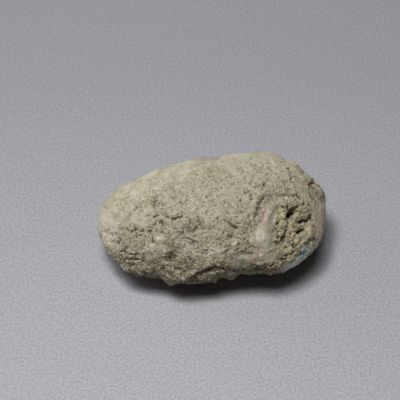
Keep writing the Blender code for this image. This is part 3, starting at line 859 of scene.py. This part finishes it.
def makeTuffRind():
    # Dusty volcanic tuff: dry, dead matt, cream sand with pale and dark grains, and darker pores and hollows,
    # partly dirt and partly painted shade.
    material, tree, surface, place = startMaterial("tuffRind")
    colour, cloud = rindColour(tree, place)
    grains = addNode(tree, "ShaderNodeTexVoronoi", "Color", {"Vector": place, **tuff["grains"]})
    paleDraw = addNode(tree, "ShaderNodeSeparateColor", "Red", {"Color": grains})
    darkDraw = paleDraw.node.outputs["Green"]
    pale = addNode(tree, "ShaderNodeMapRange", "Result", {"Value": paleDraw, **tuff["paleShowing"]})
    dark = addNode(tree, "ShaderNodeMapRange", "Result", {"Value": darkDraw, **tuff["darkShowing"]})
    rough = addNode(tree, "ShaderNodeAttribute", "Fac", attribute_name="rough")
    onRough = addNode(tree, "ShaderNodeMapRange", "Result", {"Value": rough, **tuff["darkOnRough"]})
    dark = addNode(tree, "ShaderNodeMath", "Value", {0: dark, 1: onRough}, operation="MULTIPLY")
    for share, grain in ((pale, rindTones["paleGrain"]), (dark, rindTones["darkGrain"])):
        colour = addNode(tree, "ShaderNodeMix", mixOut, {
            shareIn: share, underIn: colour, overIn: fromHex(grain)}, data_type="RGBA")
    grit = addNode(tree, "ShaderNodeTexNoise", "Fac", {"Vector": place, **tuff["grit"]})
    height = addNode(tree, "ShaderNodeMath", "Value", {
        0: grains.node.outputs["Distance"], 1: -tuff["grainHeight"], 2: grit}, operation="MULTIPLY_ADD")
    finishSurface(tree, surface, tuff, laidOver(tree, colour, tuff["hollows"]), cloud, height)
    return material


opalLook = {
    "cloud": {"Scale": perMetre(3.5), "Detail": 3.0, "Distortion": 0.4},
    "stops": ((0.36, "#938f7a"), (0.5, "#9f9681"), (0.64, "#9e8f7d")),  # smoky, milky, pinkish
    "stretch": (1.6, 0.8, 0.8),  # draws the streaks out up the face
    "streaks": {"Scale": perMetre(0.9), "Detail": 5.0, "Roughness": 0.7, "Distortion": 0.6},
    # the pale streaks are partly painted highlights
    "streakLayers": (
        ({"From Min": 0.34, "From Max": 0.48, "To Min": 0.55, "To Max": 0.0}, "#6d6553"),
        ({"From Min": 0.53, "From Max": 0.66, "To Max": 0.8}, "#cfcabb"),
    ),
    "ragged": 0.3,  # how far the streaks shift the border of the dust
    "clean": {"From Max": 0.22},  # how far in from its edge the opal is dusted with the rind's sand
    "ripple": {"Scale": perMetre(0.5), "Detail": 4.0},
    "roughness": {"To Min": 0.9, "To Max": 0.42},
    "bump": {"Strength": 0.6, "Distance": 0.2 * mm},
    "shader": {
        "IOR": 1.45,
        "Subsurface Weight": 0.2,
        "Subsurface Radius": (1.0 * mm, 0.9 * mm, 0.7 * mm),
        "Subsurface Scale": 1.0,
    },
}


def makeMilkyOpal():
    # Milky precious opal: smooth and waxy, pinkish cream to grey green with pale streaks, partly painted
    # highlights, dusty at its edge.
    material, tree, surface, place = startMaterial("milkyOpal")
    cloud = addNode(tree, "ShaderNodeTexNoise", "Fac", {"Vector": place, **opalLook["cloud"]})
    body = addNode(tree, "ShaderNodeValToRGB", "Color", {"Fac": cloud}, opalLook["stops"])
    colour = laidOver(tree, body, tintLayers)
    stretched = addNode(tree, "ShaderNodeMapping", "Vector", {"Vector": place, "Scale": opalLook["stretch"]})
    streaks = addNode(tree, "ShaderNodeTexNoise", "Fac", {"Vector": stretched, **opalLook["streaks"]})
    for showing, streak in opalLook["streakLayers"]:
        share = addNode(tree, "ShaderNodeMapRange", "Result", {"Value": streaks, **showing})
        colour = addNode(tree, "ShaderNodeMix", mixOut, {
            shareIn: share, underIn: colour, overIn: fromHex(streak)}, data_type="RGBA")
    opal = addNode(tree, "ShaderNodeAttribute", "Fac", attribute_name="opal")
    ragged = addNode(tree, "ShaderNodeMath", "Value", {
        0: streaks, 1: opalLook["ragged"], 2: -0.5 * opalLook["ragged"]}, operation="MULTIPLY_ADD")
    depth = addNode(tree, "ShaderNodeMath", "Value", {0: opal, 1: ragged}, operation="ADD")
    clean = addNode(tree, "ShaderNodeMapRange", "Result", {"Value": depth, **opalLook["clean"]})
    dust, _ = rindColour(tree, place)
    dusted = addNode(tree, "ShaderNodeMix", mixOut, {
        shareIn: clean, underIn: dust, overIn: colour}, data_type="RGBA")
    ripple = addNode(tree, "ShaderNodeTexNoise", "Fac", {"Vector": place, **opalLook["ripple"]})
    finishSurface(tree, surface, opalLook, dusted, clean, ripple)
    return material


# the pore tone is for the darkest grains and for painted shade in the gaps
plugTones = {"olive": "#948b6f", "shade": "#645d42", "pale": "#bab193", "pore": "#191409"}

plugLook = {
    "cloud": {"Scale": perMetre(1.2), "Detail": 5.0, "Roughness": 0.7},
    "stops": ((0.35, plugTones["shade"]), (0.5, plugTones["olive"]), (0.66, plugTones["pale"])),
    # painted shade: nearly black in the gaps between the crumbs, darker the deeper they lie
    "hollows": (
        ("hollowFine", {"From Min": 0.01, "From Max": 0.1, "To Max": 0.85}, plugTones["pore"]),
        ("hollowBroad", {"From Min": 0.05, "From Max": 0.35, "To Max": 0.95}, plugTones["pore"]),
    ),
    "grit": {"Scale": perMetre(0.3), "Detail": 3.0, "Roughness": 0.7},
    "roughness": {"To Min": 0.8, "To Max": 0.97},
    "bump": {"Strength": 0.8, "Distance": 0.15 * mm},
    "shader": {"Specular IOR Level": 0.25},
}


def plugColour(tree, place):
    # olive clay between darker and pale lumps
    cloud = addNode(tree, "ShaderNodeTexNoise", "Fac", {"Vector": place, **plugLook["cloud"]})
    body = addNode(tree, "ShaderNodeValToRGB", "Color", {"Fac": cloud}, plugLook["stops"])
    return laidOver(tree, body, tintLayers), cloud


def makeCrumbledPlug():
    # Crumbly clayey tuff: olive khaki, dull, with pale crumbs, and gaps made nearly black by painted shade.
    material, tree, surface, place = startMaterial("crumbledPlug")
    body, cloud = plugColour(tree, place)
    grit = addNode(tree, "ShaderNodeTexNoise", "Fac", {"Vector": place, **plugLook["grit"]})
    finishSurface(tree, surface, plugLook, laidOver(tree, body, plugLook["hollows"]), cloud, grit)
    return material


bakedSand = {
    "showing": {"From Max": 0.6, "To Min": 0.25, "To Max": 0.48},  # a grain's own colour, by the roughness
    "grit": {"Scale": perMetre(0.12), "Detail": 2.0},
    "roughness": {"To Min": 0.75, "To Max": 0.95},
    "bump": {"Strength": 0.5, "Distance": 0.05 * mm},
    "shader": {"Specular IOR Level": 0.3},
}


def makeSand(name, kinds, baseColour):
    # Sand baked into the stone: dull grains, most as what lies under them, some pale, a few dark.
    material, tree, surface, place = startMaterial(name)
    base, cloud = baseColour(tree, place)
    draw = addNode(tree, "ShaderNodeAttribute", "Fac", attribute_name="draw")
    own = addNode(tree, "ShaderNodeValToRGB", "Color", {"Fac": draw}, kinds)
    rough = addNode(tree, "ShaderNodeAttribute", "Fac", attribute_name="rough")
    share = addNode(tree, "ShaderNodeMapRange", "Result", {"Value": rough, **bakedSand["showing"]})
    mixed = addNode(tree, "ShaderNodeMix", mixOut, {
        shareIn: share, underIn: base, overIn: own}, data_type="RGBA")
    grit = addNode(tree, "ShaderNodeTexNoise", "Fac", {"Vector": place, **bakedSand["grit"]})
    # the grains take the rind's painted shade in broad hollows
    finishSurface(tree, surface, bakedSand, laidOver(tree, mixed, tuff["hollows"][1:]), cloud, grit)
    return material


points, quads, normals, marks = stoneSurface()
print("stone surface:", len(points), "points,", 2 * len(quads), "triangles")

# A square is opal or plug where the mean of its marks is past these
slotEdges = {"opal": 0.0, "plug": 0.45}
isOpal, isPlug = (marks[mark][quads].mean(axis=1) > edge for mark, edge in slotEdges.items())
nodule = makePiece("opalNodule", points, quads, marks,
                   (makeTuffRind(), makeMilkyOpal(), makeCrumbledPlug()), np.where(isOpal, 1, 2 * isPlug))
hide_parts("opal_nodule")
print("stone made")

# An edge is where a mark starts to count and over what width
grainPlaces = {
    "lowest": 0.2,  # height above the ground
    "missing": {"opal": 0.95, "skin": 0.8, "khaki": 0.9, "hollowBroad": 0.85},  # share of the grains
    "edges": {"opal": (-0.18, 0.3), "hollowBroad": (0.0, 0.3)},
    "plugEdge": (0.3, 0.2),
    "leastOnSmooth": 0.3,
}

# Kinds run from the first colour to the last. A fineness above 1 gives more small grains than large ones
rindGrains = {
    "kinds": (
        (0.0, rindTones["darkGrain"]), (0.07, rindTones["darkGrain"]), (0.12, rindTones["sand"]),
        (0.55, rindTones["cream"]), (1.0, rindTones["paleGrain"]),
    ),
    "count": 9900,
    "radius": (0.1, 0.3),
    "fineness": 1.6,
    "finerWhereSmooth": 0.45,
    "stretch": (0.75, 1.25),
    "flatness": 0.7,
    "dent": 0.22,
    "tilt": 0.25,
    "sunk": 0.25,
    "seed": 201,
}

plugGrains = {
    "kinds": (
        (0.0, plugTones["pore"]), (0.05, plugTones["shade"]), (0.15, plugTones["olive"]),
        (0.7, plugTones["pale"]), (1.0, rindTones["paleGrain"]),
    ),
    "count": 5000,
    "radius": (0.1, 0.3),
    "fineness": 1.4,
    "finerWhereSmooth": 0.0,
    "stretch": (0.75, 1.25),
    "flatness": 0.8,
    "dent": 0.25,
    "tilt": 0.3,
    "sunk": 0.2,
    "seed": 202,
}

# how thickly grains lie, 1 where nothing takes them away
cover = 1.0 * (points[:, 2] > grainPlaces["lowest"])
for mark, missing in grainPlaces["missing"].items():
    edge = grainPlaces["edges"].get(mark)
    cover *= 1.0 - missing * (rise(marks[mark], *edge) if edge else marks[mark])
inPlug = rise(marks["plug"], *grainPlaces["plugEdge"])
onRind = cover * (1.0 - inPlug) * blend(grainPlaces["leastOnSmooth"], 1.0, marks["rough"])
for name, grains, weight, colour in (
    ("rindSand", rindGrains, onRind, rindColour),
    ("plugSand", plugGrains, cover * inPlug, plugColour),
):
    makePiece(name, *scatterGrains(grains, points, quads, normals, weight, marks),
              (makeSand(name, grains["kinds"], colour),))
print("grains made")

card = {
    "half": 1.5,  # metres
    "colour": "#a6a6ab",
    "fibre": {"Scale": perMetre(0.45), "Detail": 3.0, "Roughness": 0.7},
    "fibreShade": {"From Min": 0.3, "From Max": 0.7, "To Min": 0.7, "To Max": 1.3},
    "paintedFalloff": {"From Min": -0.045, "From Max": 0.05, "To Min": 1.03, "To Max": 0.84},  # painted light falloff: darker behind the stone
    "shader": {"Roughness": 0.6},
}


def makeFloor():
    # Matt grey card: plain and soft, with a faint fibre, and painted light falloff that darkens it towards
    # the back.
    mesh = bpy.data.meshes.new("floor")
    half = card["half"]
    corners = [(-half, -half, 0), (half, -half, 0), (half, half, 0), (-half, half, 0)]
    mesh.from_pydata(corners, [], [(0, 1, 2, 3)])
    floor = bpy.data.objects.new("floor", mesh)
    bpy.context.scene.collection.objects.link(floor)
    material, tree, surface, place = startMaterial("greyCard")
    fibre = addNode(tree, "ShaderNodeTexNoise", "Fac", {"Vector": place, **card["fibre"]})
    shade = addNode(tree, "ShaderNodeMapRange", "Result", {"Value": fibre, **card["fibreShade"]})
    farther = addNode(tree, "ShaderNodeSeparateXYZ", "Y", {"Vector": place})
    paintedFalloff = addNode(tree, "ShaderNodeMapRange", "Result", {"Value": farther, **card["paintedFalloff"]})
    shade = addNode(tree, "ShaderNodeMath", "Value", {0: shade, 1: paintedFalloff}, operation="MULTIPLY")
    colour = addNode(tree, "ShaderNodeMix", mixOut, {
        shareIn: 1.0, underIn: fromHex(card["colour"]), overIn: shade}, data_type="RGBA",
        blend_type="MULTIPLY")
    feed(tree, surface, {"Base Color": colour, **card["shader"]})
    mesh.materials.append(material)


# Name, kind, place, size or a sun's angle, power. The three suns stand in for one wide softbox overhead
lights = (
    ("overheadLeft", "SUN", (-0.095, -0.034, 0.28), 0.3, 0.64),
    ("overheadMiddle", "SUN", (-0.05, -0.034, 0.28), 0.3, 0.64),
    ("overheadRight", "SUN", (-0.005, -0.034, 0.28), 0.3, 0.64),
    ("keySoftbox", "AREA", (-0.04, -0.02, 0.22), 0.05, 0.2),
    ("fillSoftbox", "AREA", (-0.4, 0.12, 0.24), 0.3, 0.22),
)


def makeLight(name, kind, place, size, power):
    # a round softbox, or a sun whose size is the angle that it fills
    light = bpy.data.lights.new(name, kind)
    if kind == "AREA":
        light.shape = "DISK"
        light.size = size
    else:
        light.angle = size
    light.energy = power
    lamp = bpy.data.objects.new(name, light)
    lamp.location = place
    lamp.rotation_euler = Vector(place).to_track_quat("Z", "Y").to_euler()
    bpy.context.scene.collection.objects.link(lamp)


room = {
    "colour": "#d9dbe0",
    # a pale band along the horizon, for low views, that fades between these heights
    "glow": {"From Min": 0.13, "From Max": 0.2, "To Min": 0.42, "To Max": 0.01},
}


def makeWorld():
    world = bpy.data.worlds.new("studio")
    world.use_nodes = True
    tree = world.node_tree
    direction = addNode(tree, "ShaderNodeTexCoord", "Generated")
    height = addNode(tree, "ShaderNodeSeparateXYZ", "Z", {"Vector": direction})
    strength = addNode(tree, "ShaderNodeMapRange", "Result", {"Value": height, **room["glow"]},
                       interpolation_type="SMOOTHSTEP")
    feed(tree, tree.nodes["Background"], {"Color": fromHex(room["colour"]), "Strength": strength})
    bpy.context.scene.world = world


photo = {
    "pixel": 0.2018,  # millimetres that one pixel of the photo shows at the stone's middle
    "centre": (200.0, 200.0),  # of the photo, in pixels
    "stoneAt": (211.5, 218.0),  # where the stone's middle shows
    "lens": 100.0,
    "clipStart": 0.01,
}


def makeCamera():
    # looks square onto the broken face, so that the stone's middle shows where it does in the photo
    upAxis, outAxis = (Vector(axis) for axis in faceAxes())
    right, down = (at - centre for at, centre in zip(photo["stoneAt"], photo["centre"]))
    aim = Vector(stoneMiddle()) - photo["pixel"] * (Vector((right, 0.0, 0.0)) - down * upAxis)
    view = bpy.data.cameras.new("photoView")
    view.lens = photo["lens"]
    view.clip_start = photo["clipStart"]
    camera = bpy.data.objects.new("photoView", view)
    camera.location = (aim + stone["eyeDistance"] * outAxis) * mm
    camera.rotation_euler = outAxis.to_track_quat("Z", "Y").to_euler()
    bpy.context.scene.collection.objects.link(camera)
    bpy.context.scene.camera = camera


makeFloor()
makeWorld()
for light in lights:
    makeLight(*light)
makeCamera()
bpy.context.scene.view_settings.view_transform = "Standard"
print("floor, light and camera made")
